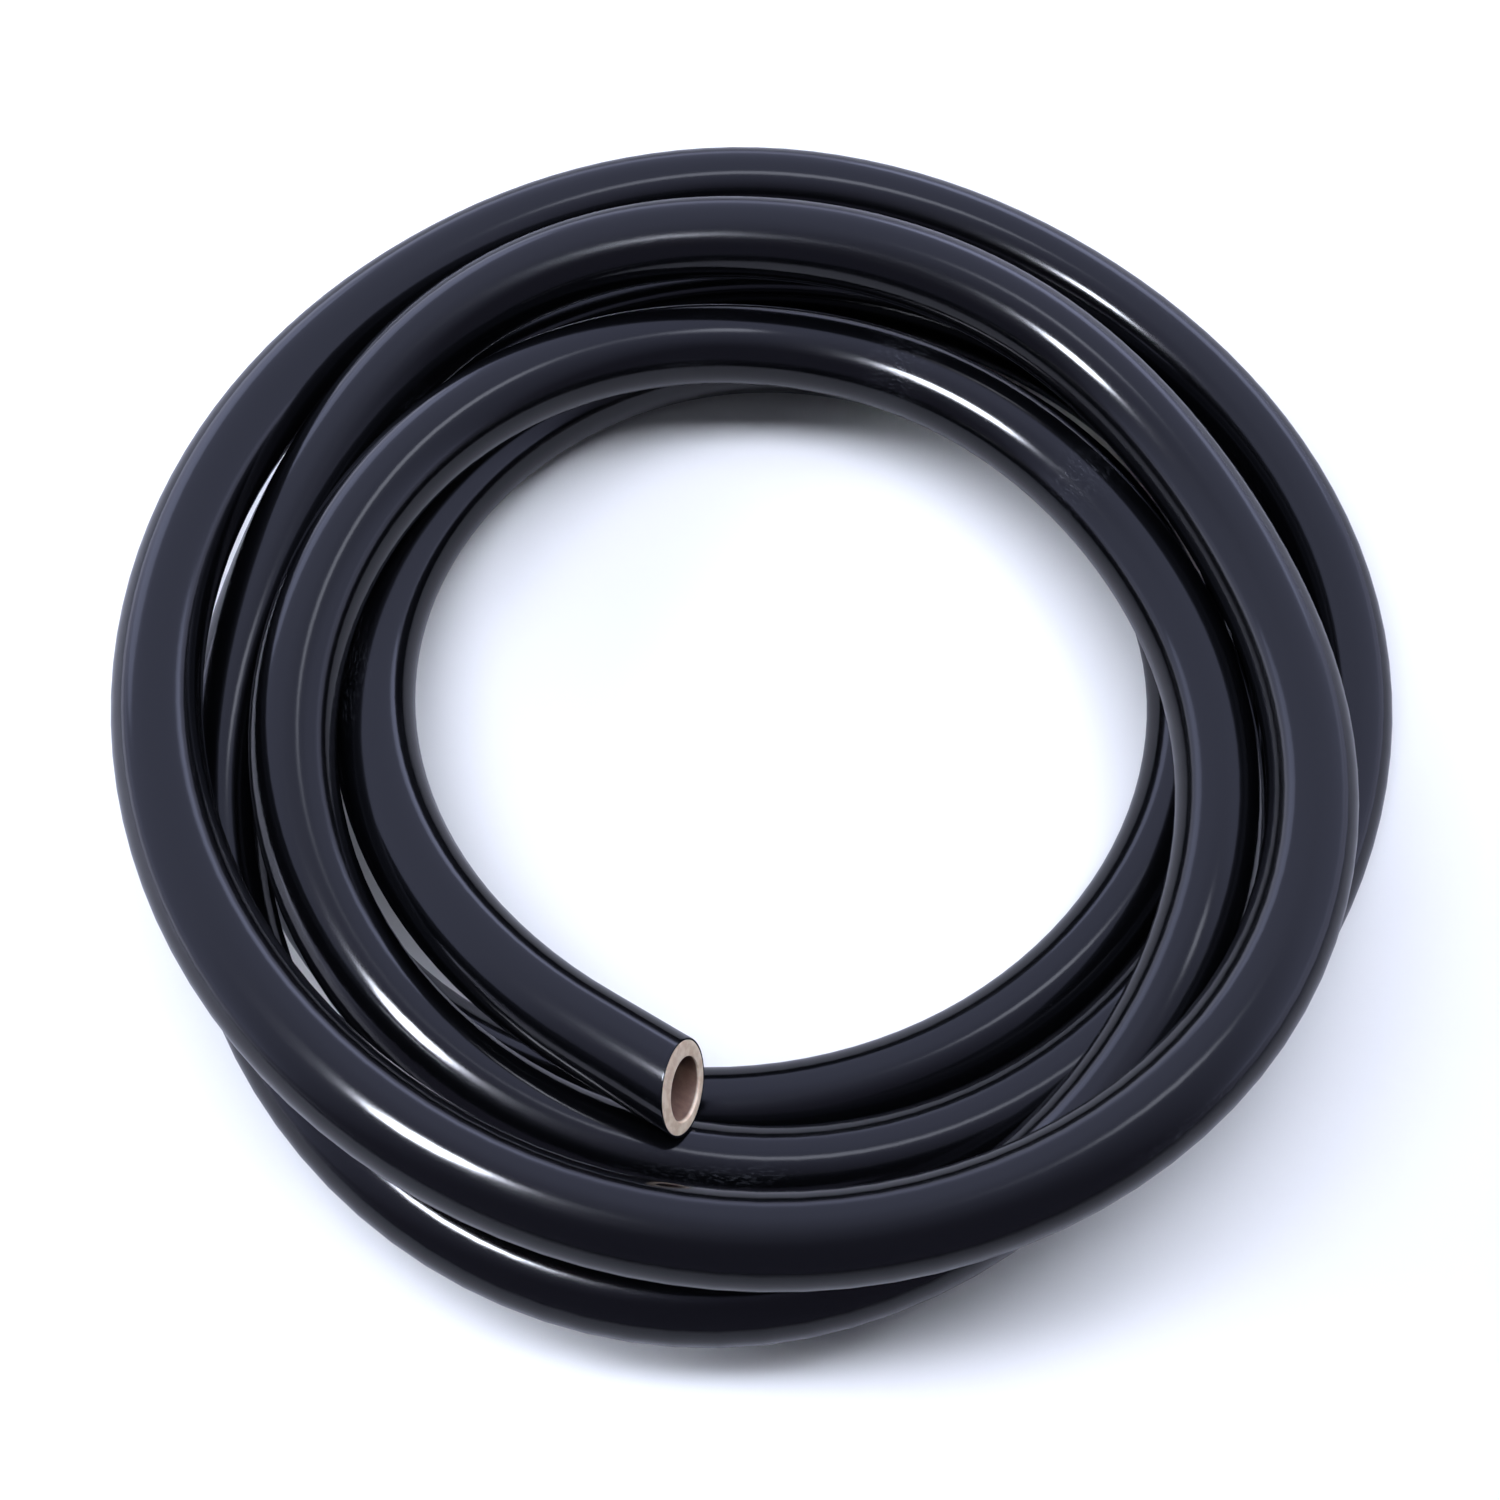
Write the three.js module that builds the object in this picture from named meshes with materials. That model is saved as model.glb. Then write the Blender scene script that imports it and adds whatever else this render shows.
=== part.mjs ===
// A length of two-layer hose, cut square at one end and on a slant at the other,
// lying in a loose coil of nearly five turns. Millimetres, +Z up, resting on Z = 0.
import * as THREE from 'three';

// The hose, from the bore outwards.
const BORE_DIAMETER = 12.7;
const CORE_THICKNESS = 2.45;
const LAYER_GAP = 0.3;
const SKIN_THICKNESS = 0.4;
const HOSE_DIAMETER = BORE_DIAMETER + 2 * (CORE_THICKNESS + LAYER_GAP + SKIN_THICKNESS);

// The coil. A lay is one hose with the clearance that keeps it off the next turn.
const EYE_RADIUS = 60;
const TURN_GAP = 0.6;
const LAY = HOSE_DIAMETER + TURN_GAP;

// The ends run straight. The one that shows is cut on a slant, its face turned
// towards the coil's eye and tipped upwards.
const END_LENGTH = 22.5;
const HIDDEN_END_LENGTH = 19;
const CUT_TURN = THREE.MathUtils.degToRad(16);
const CUT_TIP = THREE.MathUtils.degToRad(16);

// Where the hose rests it is pressed flat by a tenth of its diameter.
const FLAT_DEPTH = HOSE_DIAMETER / 10;
const RESTING_HEIGHT = HOSE_DIAMETER / 2 - FLAT_DEPTH;

const STEPS_PER_TURN = 24;
const SIDES = 6;
const START_TURN = 0.05;
const COIL_STEPS = 115;
const END_TURN = START_TURN + COIL_STEPS / STEPS_PER_TURN;
const HEADING_TURN = 0.005;

// How the hose lies, lap by lap from the end that shows. A lap has eight marks, an
// eighth of a turn apart, clockwise from the front (-Y). At each mark `out` says how
// many lays the hose is drawn outwards from the eye, and `up` how many off the ground.
const MARKS_PER_TURN = 8;
const LEAD_IN = { out: [4.30], up: [1.90] };
const LAPS = [
  { out: [2.50, 1.55, 0.85, 0.40, 0.40, 0.80, 1.70, 1.95],
    up: [1.75, 1.25, 0.62, 0.35, 0.25, 0.00, 0.00, 0.00] },
  { out: [2.25, 2.80, 2.30, 1.85, 1.60, 1.96, 2.43, 2.87],
    up: [0.00, 0.00, 0.00, 0.00, 0.00, 0.12, 0.81, 0.32] },
  { out: [3.30, 2.90, 1.30, 0.10, -0.19, -0.01, 1.08, 2.90],
    up: [0.69, 1.34, 1.75, 1.70, 1.16, 1.23, 0.92, 1.86] },
  { out: [4.97, 4.07, 2.01, 1.53, 0.52, 0.96, 1.86, 4.07],
    up: [0.59, 0.79, 0.97, 1.88, 2.36, 2.05, 1.48, 2.46] },
  { out: [4.29, 3.86, 2.98, 2.59, 2.75, 3.05, 3.77, 3.56],
    up: [2.12, 2.55, 1.91, 1.08, 0.80, 0.07, 0.00, 0.00] },
];
const LEAD_OUT = { out: [3.57, 3.57], up: [0.00, 0.00] };
const MARKS = [LEAD_IN, ...LAPS, LEAD_OUT];
const OUT_MARKS = MARKS.flatMap((lap) => lap.out);
const UP_MARKS = MARKS.flatMap((lap) => lap.up);

// A uniform cubic B-spline through the marks: smooth in bend as well as in heading.
function smoothMark(marks, turn) {
  const place = turn * MARKS_PER_TURN;
  const first = Math.floor(place);
  const u = place - first;
  const v = 1 - u;
  return (v ** 3 * marks[first]
    + (3 * u ** 3 - 6 * u ** 2 + 4) * marks[first + 1]
    + (3 * v ** 3 - 6 * v ** 2 + 4) * marks[first + 2]
    + u ** 3 * marks[first + 3]) / 6;
}

// The hose's centre after so many turns, clockwise seen from above.
function coilPoint(turn) {
  const angle = 2 * Math.PI * turn;
  const radius = EYE_RADIUS + HOSE_DIAMETER / 2 + LAY * smoothMark(OUT_MARKS, turn);
  const height = RESTING_HEIGHT + LAY * smoothMark(UP_MARKS, turn);
  return new THREE.Vector3(-radius * Math.sin(angle), -radius * Math.cos(angle), height);
}

// The centre line: the coil's steps with a straight length on each end, which keeps
// the heading that the curve has there.
function centreLine() {
  const points = [];
  for (let step = 0; step <= COIL_STEPS; step += 1) {
    points.push(coilPoint(START_TURN + step / STEPS_PER_TURN));
  }
  const start = extend(coilPoint(START_TURN + HEADING_TURN), points[0], END_LENGTH);
  const end = extend(coilPoint(END_TURN - HEADING_TURN), points.at(-1), HIDDEN_END_LENGTH);
  return [start, ...points, end];
}

// The point that lies a length beyond `to`, on the line from `from`.
function extend(from, to, length) {
  return to.clone().sub(from).setLength(length).add(to);
}

// Each ring holds its centre, the way the hose runs there, the level direction to its
// side, the upright one, and the normal of the plane that the ring lies in.
function makeRings(points) {
  return points.map((centre, index) => {
    const before = points[Math.max(index - 1, 0)];
    const after = points[Math.min(index + 1, points.length - 1)];
    const along = after.clone().sub(before).normalize();
    const side = new THREE.Vector3(0, 0, 1).cross(along).normalize();
    const lift = along.clone().cross(side);
    return { centre, along, side, lift, plane: along };
  });
}

// The slanted cut: the end's plane, turned about the upright and tipped upwards.
function slantEnd(ring) {
  const face = ring.along.clone().negate();
  face.applyAxisAngle(ring.lift, CUT_TURN);
  face.applyAxisAngle(ring.side, CUT_TIP);
  ring.plane = face;
}

// A point of a ring's rim, slid along the hose into the ring's plane, and pressed up
// to the floor where it would reach below it.
function rimPoint(ring, radius, angle, floor) {
  const rim = ring.side.clone().multiplyScalar(radius * Math.cos(angle));
  rim.addScaledVector(ring.lift, radius * Math.sin(angle));
  const slide = -rim.dot(ring.plane) / ring.along.dot(ring.plane);
  rim.addScaledVector(ring.along, slide).add(ring.centre);
  rim.z = Math.max(rim.z, floor);
  return rim;
}

// One layer of the hose: an open tube with a wall, closed by a flat rim at each end.
function layerGeometry(rings, outer, inner) {
  const positions = [];
  const faces = [];
  const walls = [outer, inner];
  for (const ring of rings) {
    for (const wall of walls) {
      for (let corner = 0; corner < SIDES; corner += 1) {
        const angle = 2 * Math.PI * corner / SIDES;
        positions.push(...rimPoint(ring, wall.radius, angle, wall.floor));
      }
    }
  }
  const vertex = (ring, wall, corner) => (ring * walls.length + wall) * SIDES + corner % SIDES;
  const quad = (a, b, c, d) => faces.push(a, b, c, a, c, d);
  const last = rings.length - 1;
  for (let k = 0; k < SIDES; k += 1) {
    for (let i = 0; i < last; i += 1) {
      quad(vertex(i, 0, k), vertex(i, 0, k + 1), vertex(i + 1, 0, k + 1), vertex(i + 1, 0, k));
      quad(vertex(i, 1, k), vertex(i + 1, 1, k), vertex(i + 1, 1, k + 1), vertex(i, 1, k + 1));
    }
    quad(vertex(0, 0, k), vertex(0, 1, k), vertex(0, 1, k + 1), vertex(0, 0, k + 1));
    quad(vertex(last, 0, k), vertex(last, 0, k + 1), vertex(last, 1, k + 1), vertex(last, 1, k));
  }
  const geometry = new THREE.BufferGeometry();
  geometry.setAttribute('position', new THREE.Float32BufferAttribute(positions, 3));
  geometry.setIndex(faces);
  geometry.computeVertexNormals();
  return geometry;
}

// The least gap between two turns, measured on points along the centre line that lie
// more than half a lap apart, for a hose of full round section.
function leastGap(points) {
  const POINTS_PER_STEP = 4;
  const dense = [];
  for (let i = 1; i < points.length; i += 1) {
    for (let k = 0; k < POINTS_PER_STEP; k += 1) {
      dense.push(points[i - 1].clone().lerp(points[i], k / POINTS_PER_STEP));
    }
  }
  const halfLap = STEPS_PER_TURN * POINTS_PER_STEP / 2;
  let least = Infinity;
  for (let i = 0; i < dense.length; i += 1) {
    for (let j = i + halfLap; j < dense.length; j += 1) {
      least = Math.min(least, dense[i].distanceTo(dense[j]));
    }
  }
  return least - HOSE_DIAMETER;
}

function makeLayer(name, rings, outer, inner, material) {
  const mesh = new THREE.Mesh(layerGeometry(rings, outer, inner), material);
  mesh.name = name;
  return mesh;
}

const points = centreLine();
const rings = makeRings(points);
slantEnd(rings[0]);
console.log(`least gap between turns: ${leastGap(points).toFixed(2)} mm`);

// The walls of the layers, each with the level that it is pressed flat at.
const hoseOutside = { radius: HOSE_DIAMETER / 2, floor: 0 };
const skinInside = { radius: hoseOutside.radius - SKIN_THICKNESS, floor: SKIN_THICKNESS };
const coreOutside = { radius: skinInside.radius - LAYER_GAP, floor: skinInside.floor + LAYER_GAP };
const bore = { radius: BORE_DIAMETER / 2, floor: coreOutside.floor };

const blackSkin = new THREE.MeshStandardMaterial({ color: 0x0e1015, roughness: 0.16, metalness: 0 });
const tanRubber = new THREE.MeshStandardMaterial({ color: 0xcbb09c, roughness: 0.55, metalness: 0 });

const cover = makeLayer('hose_cover', rings, hoseOutside, skinInside, blackSkin);
const core = makeLayer('hose_core', rings, coreOutside, bore, tanRubber);

// The origin is the middle of the coil's footprint, on the ground.
const footprint = new THREE.Box3().setFromObject(cover).getCenter(new THREE.Vector3());
const hose = new THREE.Group();
hose.add(cover, core);
hose.position.set(-footprint.x, -footprint.y, 0);
hose.updateMatrixWorld(true);

export default hose;
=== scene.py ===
"""A glossy two-layer hose that lies in a loose coil on a white studio floor."""
import math

import bpy
import numpy as np
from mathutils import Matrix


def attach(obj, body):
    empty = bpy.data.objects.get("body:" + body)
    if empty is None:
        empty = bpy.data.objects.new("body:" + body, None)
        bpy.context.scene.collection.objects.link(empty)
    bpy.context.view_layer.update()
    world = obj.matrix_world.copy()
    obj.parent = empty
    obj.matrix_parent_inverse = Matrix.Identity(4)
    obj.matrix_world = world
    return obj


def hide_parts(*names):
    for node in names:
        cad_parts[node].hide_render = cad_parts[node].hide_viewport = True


MM = 0.001

# The hose, in millimetres. The clearance keeps the faces of its two layers apart.
HOSE_DIAMETER = 19.0
SKIN_THICKNESS = 0.4
SKIN_INSIDE = HOSE_DIAMETER / 2 - SKIN_THICKNESS
LAYER_CLEARANCE = 0.02
BORE_DIAMETER = 12.7

# How the hose lies, in millimetres and turns, as in the CAD solids. A lay is one hose
# with the clearance that keeps it off the next turn. Where it rests it is pressed flat.
EYE_RADIUS = 60.0
TURN_GAP = 0.6
LAY = HOSE_DIAMETER + TURN_GAP
FLAT_DEPTH = HOSE_DIAMETER / 10
RESTING_HEIGHT = HOSE_DIAMETER / 2 - FLAT_DEPTH
END_LENGTH = 22.5
HIDDEN_END_LENGTH = 19.0
START_TURN = 0.05
COIL_STEPS = 115
STEPS_PER_TURN = 24
END_TURN = START_TURN + COIL_STEPS / STEPS_PER_TURN
HEADING_TURN = 0.005

# The marks that the coil runs by, an eighth of a turn apart, clockwise from the front:
# how many lays the hose is drawn outwards from the eye, and how many off the ground.
MARKS_PER_TURN = 8
OUT_MARKS = [
    4.30,
    2.50, 1.55, 0.85, 0.40, 0.40, 0.80, 1.70, 1.95,
    2.25, 2.80, 2.30, 1.85, 1.60, 1.96, 2.43, 2.87,
    3.30, 2.90, 1.30, 0.10, -0.19, -0.01, 1.08, 2.90,
    4.97, 4.07, 2.01, 1.53, 0.52, 0.96, 1.86, 4.07,
    4.29, 3.86, 2.98, 2.59, 2.75, 3.05, 3.77, 3.56,
    3.57, 3.57,
]
UP_MARKS = [
    1.90,
    1.75, 1.25, 0.62, 0.35, 0.25, 0.00, 0.00, 0.00,
    0.00, 0.00, 0.00, 0.00, 0.00, 0.12, 0.81, 0.32,
    0.69, 1.34, 1.75, 1.70, 1.16, 1.23, 0.92, 1.86,
    0.59, 0.79, 0.97, 1.88, 2.36, 2.05, 1.48, 2.46,
    2.12, 2.55, 1.91, 1.08, 0.80, 0.07, 0.00, 0.00,
    0.00, 0.00,
]
# The middle of the coil's footprint, which is the frame's origin.
FOOTPRINT = np.array([5.141, -16.818, 0.0])

# How finely the hose is made. The ring step is that of its straight ends.
RINGS_PER_TURN = 120
END_RING_STEP = 2.5
SIDES = 72

# The cut end: its face is turned towards the coil's eye and tipped upwards. Its slant
# dies out over a length of the hose, and so does the bore's shift off the middle, given
# as to the side and upwards.
CUT_TURN = math.radians(16)
CUT_TIP = math.radians(16)
CUT_REACH = 12.0
BORE_SHIFT = (-0.2, -1.2)

# The rounding of a rim's corner, and the points on it, as (across the wall, out of the
# end), both in roundings.
EDGE_ROUND = 0.08
EDGE_CORNER = [(0.0, -2.5), (0.0, 0.0), (0.3, 0.7), (1.0, 1.0), (1.5, 1.0)]

# The materials. A noise is given as its grains a metre along the hose and across it,
# and its detail. A range says between which of its values something starts and is
# complete. Lengths along the hose and depths of bumps are in metres.
STRAIGHT = "straight"
SKIN_COLOUR = (0.0014, 0.0015, 0.002, 1)
STREAK_NOISE = (9, 700, 2.0)
STREAK_RANGE = (0.3, 0.7)
STREAK_ROUGHNESS = (0.12, 0.16)
STREAK_DEPTH = 0.00001
WAVE_NOISE = (12, 40, 2.0)
WAVE_DEPTH = 0.00008
GRAIN_NOISE = (900, 1500, 3.0)
GRAIN_DEPTH = 0.000004

# Where the skin is rubbed dull: in marks, on patches and near to some turns.
RUBBED_COLOUR = (0.016, 0.017, 0.02, 1)
RUBBED_ROUGHNESS = 0.10
PATCH_NOISE = (14, 60, 2.0)
PATCH_RANGE = (0.64, 0.76)
MARK_NOISE = (700, 2400, 4.0)
MARK_RANGE = (0.48, 0.68)
RUBBED_TURNS = [2.585, 2.69]
RUBBED_REACH = 0.011

# The core: each pair of colours is mixed by the mottle, and its cut face gives way to
# the bore's painted shade, and that to a darker painted shade deep in the bore, over a
# length from the cut.
CORE_ROUGHNESS = 0.5
CUT_COLOURS = [(0.86, 0.72, 0.58, 1), (0.70, 0.53, 0.39, 1)]
# Painted shade: the bore's browns and its dark depth stand in for the shade inside the hose.
BORE_SHADE_COLOURS = [(0.15, 0.09, 0.065, 1), (0.11, 0.06, 0.045, 1)]
BORE_DEPTH_SHADE_COLOUR = (0.05, 0.028, 0.02, 1)
MOTTLE_NOISE = (500, 500, 4.0)
MOTTLE_RANGE = (0.35, 0.65)
CUT_FACE_REACH = 0.0006
BORE_DEPTH_SHADE_REACH = 0.012
KNIFE_NOISE = (40, 1600, 2.0)
KNIFE_DEPTH = 0.00005

# The photograph's camera, in millimetres, aimed at a point of the coil.
AIM = np.array([-2.0, -30.0, 10.0])
CAMERA_DISTANCE = 489.0
CAMERA_ELEVATION = math.radians(66)
LENS = 50.4
SENSOR = 36.0
CLIP_START = 10.0

# The floor, in metres. Its glow rises with the distance from the middle of the coil.
FLOOR_REACH = 6.0
FLOOR_ROUGHNESS = 0.6
FLOOR_COLOUR = (0.86, 0.86, 0.86, 1)
FLOOR_IN_GLOSS = (0.42, 0.42, 0.46, 1)
FLOOR_GLOW = 0.85
GLOW_RANGE = (0.3, 1.1)

# The studio's walls, as the gloss shows them. A range is of a direction's part upwards,
# towards the back or towards the right. The camera itself sees the backdrop.
BACKDROP_COLOUR = (0.86, 0.88, 0.93, 1)
FRONT_COLOUR = (0.14, 0.14, 0.22, 1)
HORIZON_COLOUR = (0.95, 1.0, 1.45, 1)
LOW_LEFT_COLOUR = (2.1, 2.2, 2.9, 1)
LOW_RANGE = (0.12, 0.32)
BACK_RANGE = (-0.7, 0.0)
LOWEST_RANGE = (0.05, 0.16)
LEFT_RANGE = (-0.5, 0.0)

# The dome, in metres, is bright at the back and fades out above the hose, between two
# places on its middle line. Beside that line it fades nearer to the front.
DOME_RANGE = (-0.35, 0.30)
DOME_MIDDLE = 0.07
DOME_HALF_WIDTH = 0.12
DOME_SLANT = 0.6

# The lights, in metres and degrees: all are level and shine down. The radiance is that
# of a rectangle of the light's size, where white has 1. A light that isn't reflected
# doesn't show in the gloss, and one that doesn't light the floor shows in the gloss
# alone. Reflected lights that overlap lie at heights of their own.
SKY = (0.62, 0.68, 1.0)
SHADE = (0.83, 0.87, 1.0)
LIGHTS = [
    {"name": "dome", "place": (0, 1.3, 0.45), "size": (4.0, 4.4), "radiance": 1.0,
     "colour": SKY, "lights_floor": False, "fades": True},
    {"name": "far_left", "place": (-0.9, 1.0, 0.47), "size": (0.9, 1.2),
     "shape": "ELLIPSE", "radiance": 1.2, "colour": SKY, "lights_floor": False},
    {"name": "far_right", "place": (0.9, 1.7, 0.47), "size": (1.1, 1.8),
     "shape": "ELLIPSE", "radiance": 1.4, "colour": SKY, "lights_floor": False},
    {"name": "key", "place": (-0.144, -0.109, 0.42), "size": (0.13, 0.062), "turn": 43,
     "shape": "ELLIPSE", "radiance": 60.0, "colour": SHADE, "lights_floor": False},
    {"name": "second", "place": (0.15, 0.15, 0.7), "size": (0.11, 0.11),
     "shape": "ELLIPSE", "radiance": 3.0, "colour": SHADE, "lights_floor": False},
    {"name": "overhead", "place": (-0.08, -0.04, 0.7), "size": (0.93, 0.17),
     "radiance": 14.6, "colour": SHADE, "reflected": False},
    {"name": "from_left", "place": (-0.85, -0.1, 0.45), "size": (0.4, 0.3),
     "radiance": 28.0, "colour": SHADE, "reflected": False},
    {"name": "from_right", "place": (0.75, 0.95, 0.45), "size": (0.6, 1.0),
     "radiance": 10.0, "colour": SHADE, "reflected": False},
    {"name": "fill", "place": (0, 0, 1.6), "size": (3.0, 3.0),
     "radiance": 0.3, "colour": SHADE, "reflected": False},
]


def smooth_mark(marks, turn):
    """The uniform cubic B-spline through the marks, at each turn."""
    marks = np.array(marks)
    place = np.asarray(turn) * MARKS_PER_TURN
    first = np.floor(place).astype(int)
    u = place - first
    v = 1 - u
    return (
        v**3 * marks[first]
        + (3 * u**3 - 6 * u**2 + 4) * marks[first + 1]
        + (3 * v**3 - 6 * v**2 + 4) * marks[first + 2]
        + u**3 * marks[first + 3]
    ) / 6


def coil_points(turns):
    """The hose's centre after so many turns, clockwise from above, in millimetres."""
    turns = np.asarray(turns, float)
    angle = 2 * math.pi * turns
    radius = EYE_RADIUS + HOSE_DIAMETER / 2 + LAY * smooth_mark(OUT_MARKS, turns)
    height = RESTING_HEIGHT + LAY * smooth_mark(UP_MARKS, turns)
    points = np.stack([-radius * np.sin(angle), -radius * np.cos(angle), height], 1)
    return points - FOOTPRINT


def unit(vectors):
    """The vectors at a length of one."""
    return vectors / np.linalg.norm(vectors, axis=-1, keepdims=True)


def end_rings(length):
    """How many rings a straight end of that length has."""
    return int(length / END_RING_STEP)


def straight_end(turn, heading_turn, length):
    """Points from a turn of the coil outwards, straight on for a length."""
    inner, edge = coil_points([heading_turn, turn])
    count = end_rings(length)
    reach = np.linspace(length / count, length, count)
    return edge + reach[:, None] * unit(edge - inner)


def centre_line():
    """The whole centre line, from the cut end that shows to the hidden one."""
    count = round((END_TURN - START_TURN) * RINGS_PER_TURN)
    coil = coil_points(np.linspace(START_TURN, END_TURN, count + 1))
    start = straight_end(START_TURN, START_TURN + HEADING_TURN, END_LENGTH)
    end = straight_end(END_TURN, END_TURN - HEADING_TURN, HIDDEN_END_LENGTH)
    return np.vstack([start[::-1], coil, end])


def frames(points):
    """For each point the way the hose runs, its level side and its upright."""
    along = np.empty_like(points)
    along[1:-1] = points[2:] - points[:-2]
    along[0] = points[1] - points[0]
    along[-1] = points[-1] - points[-2]
    along = unit(along)
    side = unit(np.cross([0.0, 0.0, 1.0], along))
    lift = np.cross(along, side)
    return along, side, lift


def turned(vector, axis, angle):
    """The vector turned about an axis."""
    across = np.cross(axis, vector)
    onto = axis * np.dot(axis, vector)
    return vector * math.cos(angle) + across * math.sin(angle) + onto * (1 - math.cos(angle))


class Route:
    """The hose's centre line with its frames, and the plane of its cut end."""

    def __init__(self):
        self.points = centre_line()
        self.along, self.side, self.lift = frames(self.points)
        steps = np.linalg.norm(np.diff(self.points, axis=0), axis=1)
        self.run = np.concatenate([[0.0], np.cumsum(steps)])
        face = turned(-self.along[0], self.lift[0], CUT_TURN)
        self.cut = turned(face, self.side[0], CUT_TIP)

    def length(self):
        """The hose's whole length."""
        return self.run[-1]

    def run_at(self, turn):
        """How far along the hose a turn of the coil is."""
        return self.run[end_rings(END_LENGTH) + round((turn - START_TURN) * RINGS_PER_TURN)]

    def ring(self, index, across, out):
        """A ring of the hose from its points across it, moved out of its end.

        Where the hose rests, the ring's lower half is pressed up.
        """
        centre = self.points[index]
        press = min(1.0, centre[2] / (HOSE_DIAMETER / 2))
        up = np.where(across[:, 1] < 0, across[:, 1] * press, across[:, 1])
        offset = across[:, :1] * self.side[index] + up[:, None] * self.lift[index]
        slide = -(offset @ self.cut) / (self.along[0] @ self.cut)
        slanted = self.end_reach(index) * slide[:, None] * self.along[0]
        outward = -self.along[0] if index == 0 else self.along[index]
        return centre + offset + slanted + out * outward

    def end_reach(self, index):
        """How much of the cut end's slant is left there, from 1 down to 0."""
        return max(0.0, 1 - self.run[index] / CUT_REACH)


def add_object(name, vertices, faces, material):
    """A mesh object with smooth faces, from points in millimetres."""
    mesh = bpy.data.meshes.new(name)
    mesh.from_pydata((np.asarray(vertices) * MM).tolist(), [], faces)
    mesh.polygons.foreach_set("use_smooth", [True] * len(faces))
    mesh.materials.append(material)
    mesh.update()
    piece = bpy.data.objects.new(name, mesh)
    bpy.context.scene.collection.objects.link(piece)
    return piece


def loft(rings):
    """The points and faces of closed rings joined one to the next, and back again."""
    count = len(rings[0])
    vertices = np.concatenate(rings)
    faces = []
    for i in range(len(rings)):
        j = (i + 1) % len(rings)
        for k in range(count):
            m = (k + 1) % count
            faces.append((i * count + k, i * count + m, j * count + m, j * count + k))
    return vertices, faces


def circle(radius, shift):
    """A circle across the hose: offsets to its side and upwards."""
    angles = np.linspace(0, 2 * math.pi, SIDES, endpoint=False)
    return np.stack([radius * np.cos(angles), radius * np.sin(angles)], 1) + shift


def rim(index, start, stop):
    """An end's rounded rim, as (place, radius, way out), from one wall to the other."""
    way = math.copysign(EDGE_ROUND, stop - start)
    first = [(index, start + way * a, EDGE_ROUND * b) for a, b in EDGE_CORNER]
    second = [(index, stop - way * a, EDGE_ROUND * b) for a, b in reversed(EDGE_CORNER)]
    return first + second


def hose_layer(name, route, outer, inner, material, bore_shift=(0.0, 0.0)):
    """One layer of the hose: outside, far end, inside and back to the cut end."""
    last = len(route.points) - 1
    profile = [(index, outer, 0.0) for index in range(1, last)]
    profile += rim(last, outer, inner)
    profile += [(index, inner, 0.0) for index in range(last - 1, 0, -1)]
    profile += rim(0, inner, outer)
    rings = []
    straight = []
    for index, radius, out in profile:
        inwards = (outer - radius) / (outer - inner) * route.end_reach(index)
        across = circle(radius, np.array(bore_shift) * inwards)
        rings.append(route.ring(index, across, out))
        straight.append(np.insert(across, 0, route.run[index], axis=1))
    vertices, faces = loft(rings)
    piece = add_object(name, vertices, faces, material)
    keep_vectors(piece, STRAIGHT, np.concatenate(straight) * MM)
    return piece


def keep_vectors(piece, name, vectors):
    """Stores a vector for each vertex, for the material to use."""
    attribute = piece.data.attributes.new(name, "FLOAT_VECTOR", "POINT")
    attribute.data.foreach_set("vector", vectors.astype(np.float32).ravel())


def add_node(tree, kind, inputs=None, **settings):
    """A new node, with its inputs set to numbers or linked to other nodes' outputs."""
    made = tree.nodes.new(kind)
    for key, value in settings.items():
        setattr(made, key, value)
    for key, value in (inputs or {}).items():
        if isinstance(value, bpy.types.NodeSocket):
            tree.links.new(value, made.inputs[key])
        else:
            made.inputs[key].default_value = value
    return made


def maths(tree, operation, *values):
    """The result of an operation on values."""
    made = add_node(tree, "ShaderNodeMath", dict(enumerate(values)), operation=operation)
    return made.outputs[0]


def ramp(tree, value, limits, ends=(0.0, 1.0)):
    """Goes smoothly from one end to the other while the value goes between its limits."""
    made = add_node(tree, "ShaderNodeMapRange", {
        "Value": value, "From Min": limits[0], "From Max": limits[1],
        "To Min": ends[0], "To Max": ends[1],
    }, interpolation_type="SMOOTHSTEP")
    return made.outputs["Result"]


def fall(tree, value, limits):
    """Goes smoothly from one down to nothing while the value goes between its limits."""
    return ramp(tree, value, limits, (1.0, 0.0))


def blend(tree, factor, first, second):
    """The first colour where the factor is 0 and the second where it is 1."""
    made = add_node(tree, "ShaderNodeMix", {0: factor, 6: first, 7: second}, data_type="RGBA")
    return made.outputs[2]


def bump(tree, height, distance, under=None):
    """The normal that a height gives, on top of the bump that is under it."""
    inputs = {"Height": height, "Distance": distance, "Strength": 1.0}
    if under:
        inputs["Normal"] = under
    return add_node(tree, "ShaderNodeBump", inputs).outputs["Normal"]


def noise(tree, grains):
    """Noise on the straightened hose."""
    along, across, detail = grains
    place = add_node(tree, "ShaderNodeAttribute", attribute_name=STRAIGHT)
    scaled = add_node(tree, "ShaderNodeMapping", {
        "Vector": place.outputs["Vector"], "Scale": (along, across, across),
    })
    made = add_node(tree, "ShaderNodeTexNoise", {
        "Vector": scaled.outputs[0], "Scale": 1.0, "Detail": detail,
    })
    return made.outputs["Fac"]


def along_hose(tree):
    """How far a point lies along the hose, in metres from the cut."""
    place = add_node(tree, "ShaderNodeAttribute", attribute_name=STRAIGHT)
    split = add_node(tree, "ShaderNodeSeparateXYZ", {0: place.outputs["Vector"]})
    return split.outputs["X"]


def shader(name, **inputs):
    """A new material with its shader's own sockets set."""
    material = bpy.data.materials.new(name)
    material.use_nodes = True
    bsdf = material.node_tree.nodes["Principled BSDF"]
    for key, value in inputs.items():
        bsdf.inputs[key.replace("_", " ")].default_value = value
    return material


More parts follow.
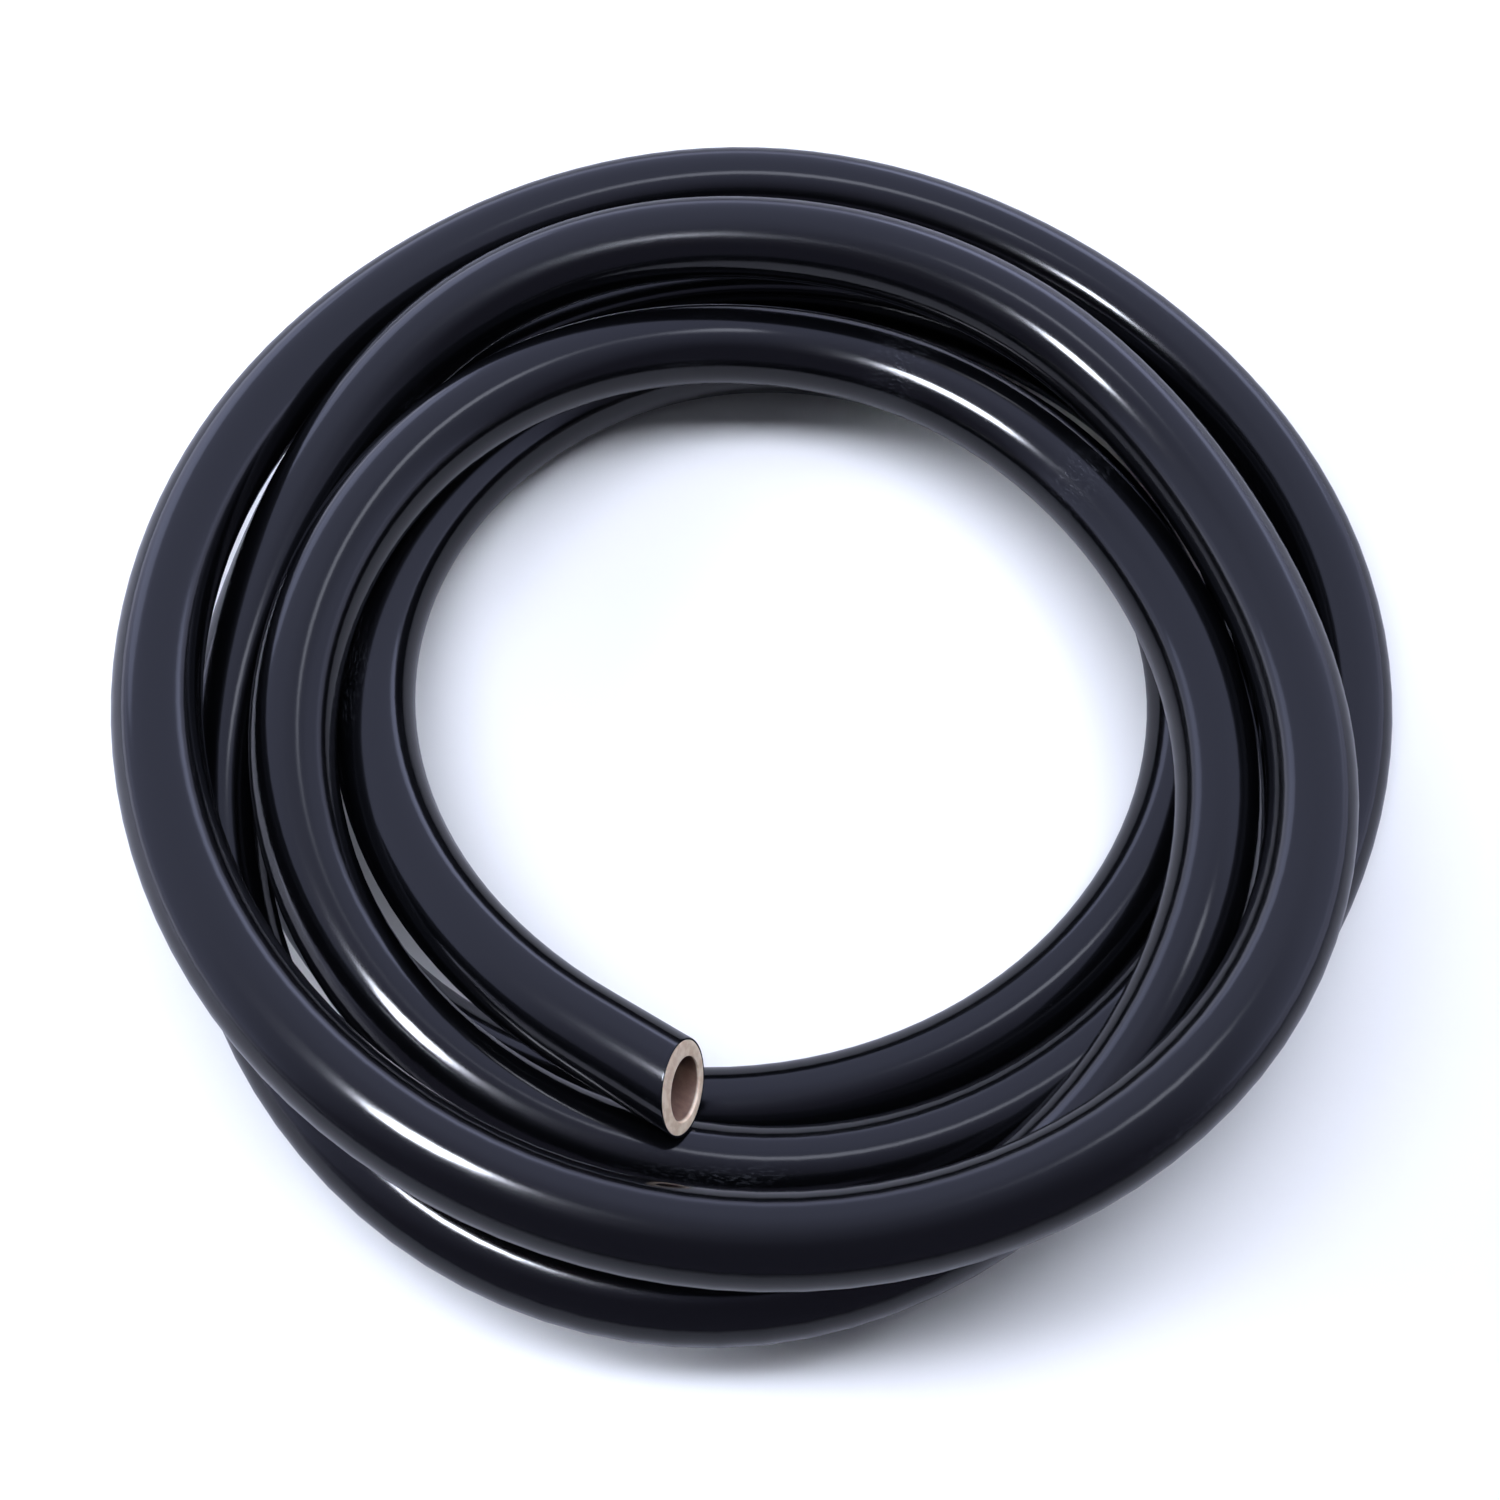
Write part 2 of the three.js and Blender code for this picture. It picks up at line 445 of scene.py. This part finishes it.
def near(tree, run):
    """One at a place along the hose, and down to nothing at RUBBED_REACH from it."""
    away = maths(tree, "ABSOLUTE", maths(tree, "SUBTRACT", along_hose(tree), run))
    return fall(tree, away, (0.0, RUBBED_REACH))


def rubbed_marks(tree, route):
    """How far the skin is rubbed: fine marks, on patches and near to some turns."""
    patches = ramp(tree, noise(tree, PATCH_NOISE), PATCH_RANGE)
    for turn in RUBBED_TURNS:
        patches = maths(tree, "MAXIMUM", patches, near(tree, route.run_at(turn) * MM))
    marks = ramp(tree, noise(tree, MARK_NOISE), MARK_RANGE)
    return maths(tree, "MULTIPLY", patches, marks)


def skin_material(route):
    """Glossy black: faint lengthwise streaks from the making, and dull rubbed marks."""
    material = shader("black_skin")
    tree = material.node_tree
    bsdf = tree.nodes["Principled BSDF"]
    rubbed = rubbed_marks(tree, route)
    streaks = noise(tree, STREAK_NOISE)
    even = ramp(tree, streaks, STREAK_RANGE, STREAK_ROUGHNESS)
    rough = maths(tree, "MULTIPLY_ADD", rubbed, RUBBED_ROUGHNESS, even)
    colour = blend(tree, rubbed, SKIN_COLOUR, RUBBED_COLOUR)
    waves = bump(tree, noise(tree, WAVE_NOISE), WAVE_DEPTH)
    lines = bump(tree, streaks, STREAK_DEPTH, waves)
    grain = bump(tree, noise(tree, GRAIN_NOISE), GRAIN_DEPTH, lines)
    tree.links.new(colour, bsdf.inputs["Base Color"])
    tree.links.new(rough, bsdf.inputs["Roughness"])
    tree.links.new(grain, bsdf.inputs["Normal"])
    return material


def core_material():
    """Tan rubber: mottled where it is cut, browned and darkened by painted shade down the bore,
    with knife marks.
    """
    material = shader("tan_rubber", Roughness=CORE_ROUGHNESS)
    tree = material.node_tree
    bsdf = tree.nodes["Principled BSDF"]
    along = along_hose(tree)
    mottle = ramp(tree, noise(tree, MOTTLE_NOISE), MOTTLE_RANGE)
    cut = blend(tree, mottle, *CUT_COLOURS)
    # Painted shade: the bore is browner than the cut, and darker still deeper down.
    shaded_bore = blend(tree, mottle, *BORE_SHADE_COLOURS)
    mouth = blend(tree, ramp(tree, along, (0.0, CUT_FACE_REACH)), cut, shaded_bore)
    colour = blend(tree, ramp(tree, along, (0.0, BORE_DEPTH_SHADE_REACH)), mouth, BORE_DEPTH_SHADE_COLOUR)
    knife = bump(tree, noise(tree, KNIFE_NOISE), KNIFE_DEPTH)
    tree.links.new(colour, bsdf.inputs["Base Color"])
    tree.links.new(knife, bsdf.inputs["Normal"])
    return material


def add_camera():
    """The photograph's camera, level from side to side."""
    data = bpy.data.cameras.new("camera")
    data.sensor_width = SENSOR
    data.lens = LENS
    data.clip_start = CLIP_START * MM
    camera = bpy.data.objects.new("camera", data)
    bpy.context.scene.collection.objects.link(camera)
    back = np.array([0.0, -math.cos(CAMERA_ELEVATION), math.sin(CAMERA_ELEVATION)])
    camera.location = (AIM - FOOTPRINT + CAMERA_DISTANCE * back) * MM
    camera.rotation_euler = (math.pi / 2 - CAMERA_ELEVATION, 0, 0)
    bpy.context.scene.camera = camera


def add_hose():
    """Both layers of the hose, which stand for the CAD solids, on the root body."""
    route = Route()
    cover = hose_layer("cover", route, HOSE_DIAMETER / 2, SKIN_INSIDE, skin_material(route))
    core = hose_layer(
        "core", route, SKIN_INSIDE - LAYER_CLEARANCE, BORE_DIAMETER / 2, core_material(), BORE_SHIFT
    )
    for piece, node in ((cover, "hose_cover"), (core, "hose_core")):
        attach(piece, "root")
        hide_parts(node)


def floor_material():
    """White, and dimmer where it shows in the gloss of the hose.

    Away from the hose, where the lights don't reach, it glows for the camera alone.
    """
    material = shader("white_floor", Roughness=FLOOR_ROUGHNESS, Emission_Color=FLOOR_COLOUR)
    tree = material.node_tree
    bsdf = tree.nodes["Principled BSDF"]
    path = add_node(tree, "ShaderNodeLightPath")
    colour = blend(tree, path.outputs["Is Glossy Ray"], FLOOR_COLOUR, FLOOR_IN_GLOSS)
    place = add_node(tree, "ShaderNodeNewGeometry").outputs["Position"]
    length = add_node(tree, "ShaderNodeVectorMath", {0: place}, operation="LENGTH")
    far = ramp(tree, length.outputs["Value"], GLOW_RANGE, (0.0, FLOOR_GLOW))
    glow = maths(tree, "MULTIPLY", far, path.outputs["Is Camera Ray"])
    tree.links.new(colour, bsdf.inputs["Base Color"])
    tree.links.new(glow, bsdf.inputs["Emission Strength"])
    return material


def add_floor():
    """The level floor that the hose lies on."""
    reach = FLOOR_REACH / MM
    corners = [(-reach, -reach, 0), (reach, -reach, 0), (reach, reach, 0), (-reach, reach, 0)]
    floor = add_object("floor", corners, [(0, 1, 2, 3)], floor_material())


def fade_dome(lamp):
    """Nodes that dim the dome towards the front, less so at its sides."""
    data = lamp.data
    data.use_nodes = True
    tree = data.node_tree
    geometry = add_node(tree, "ShaderNodeNewGeometry")
    split = add_node(tree, "ShaderNodeSeparateXYZ", {0: geometry.outputs["Parametric"]})
    left = lamp.location.x - data.size / 2 - DOME_MIDDLE
    front = lamp.location.y - data.size_y / 2
    x = maths(tree, "MULTIPLY_ADD", split.outputs["X"], data.size, left)
    y = maths(tree, "MULTIPLY_ADD", split.outputs["Y"], data.size_y, front)
    beside = maths(tree, "SUBTRACT", maths(tree, "ABSOLUTE", x), DOME_HALF_WIDTH)
    place = maths(tree, "MULTIPLY_ADD", maths(tree, "MAXIMUM", beside, 0.0), DOME_SLANT, y)
    strength = ramp(tree, place, DOME_RANGE)
    tree.links.new(strength, tree.nodes["Emission"].inputs["Strength"])


def add_light(light):
    """A level light that shines down, even unless it fades."""
    data = bpy.data.lights.new(light["name"], "AREA")
    data.shape = light.get("shape", "RECTANGLE")
    data.size, data.size_y = light["size"]
    data.energy = light["radiance"] * math.pi * data.size * data.size_y
    data.color = light["colour"]
    data.cycles.use_multiple_importance_sampling = light.get("reflected", True)
    lamp = bpy.data.objects.new(light["name"], data)
    bpy.context.scene.collection.objects.link(lamp)
    lamp.location = light["place"]
    lamp.rotation_euler.z = math.radians(light.get("turn", 0))
    lamp.visible_camera = False
    lamp.visible_glossy = light.get("reflected", True)
    lamp.visible_diffuse = light.get("lights_floor", True)
    if light.get("fades"):
        fade_dome(lamp)


def add_world():
    """The studio's walls: dim, but bright low down all round except in front."""
    world = bpy.data.worlds.new("studio")
    world.use_nodes = True
    world.cycles_visibility.diffuse = False
    tree = world.node_tree
    place = add_node(tree, "ShaderNodeTexCoord")
    split = add_node(tree, "ShaderNodeSeparateXYZ", {0: place.outputs["Generated"]})
    right, back, up = split.outputs["X"], split.outputs["Y"], split.outputs["Z"]
    bright = maths(tree, "MULTIPLY", fall(tree, up, LOW_RANGE), ramp(tree, back, BACK_RANGE))
    low_left = maths(tree, "MULTIPLY", fall(tree, up, LOWEST_RANGE), fall(tree, right, LEFT_RANGE))
    horizon = blend(tree, low_left, HORIZON_COLOUR, LOW_LEFT_COLOUR)
    walls = blend(tree, bright, FRONT_COLOUR, horizon)
    path = add_node(tree, "ShaderNodeLightPath")
    colour = blend(tree, path.outputs["Is Camera Ray"], walls, BACKDROP_COLOUR)
    tree.links.new(colour, tree.nodes["Background"].inputs["Color"])
    bpy.context.scene.world = world


def add_lighting():
    """The studio's walls and lights."""
    add_world()
    for light in LIGHTS:
        add_light(light)


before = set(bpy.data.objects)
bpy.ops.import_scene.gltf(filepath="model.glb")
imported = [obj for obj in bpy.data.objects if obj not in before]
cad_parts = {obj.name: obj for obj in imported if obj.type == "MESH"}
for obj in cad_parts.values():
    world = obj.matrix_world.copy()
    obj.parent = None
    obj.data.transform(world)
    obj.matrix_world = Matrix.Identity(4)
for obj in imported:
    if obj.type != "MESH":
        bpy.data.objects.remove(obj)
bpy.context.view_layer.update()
bpy.context.scene.view_settings.view_transform = "Standard"
add_camera()
add_hose()
add_floor()
add_lighting()
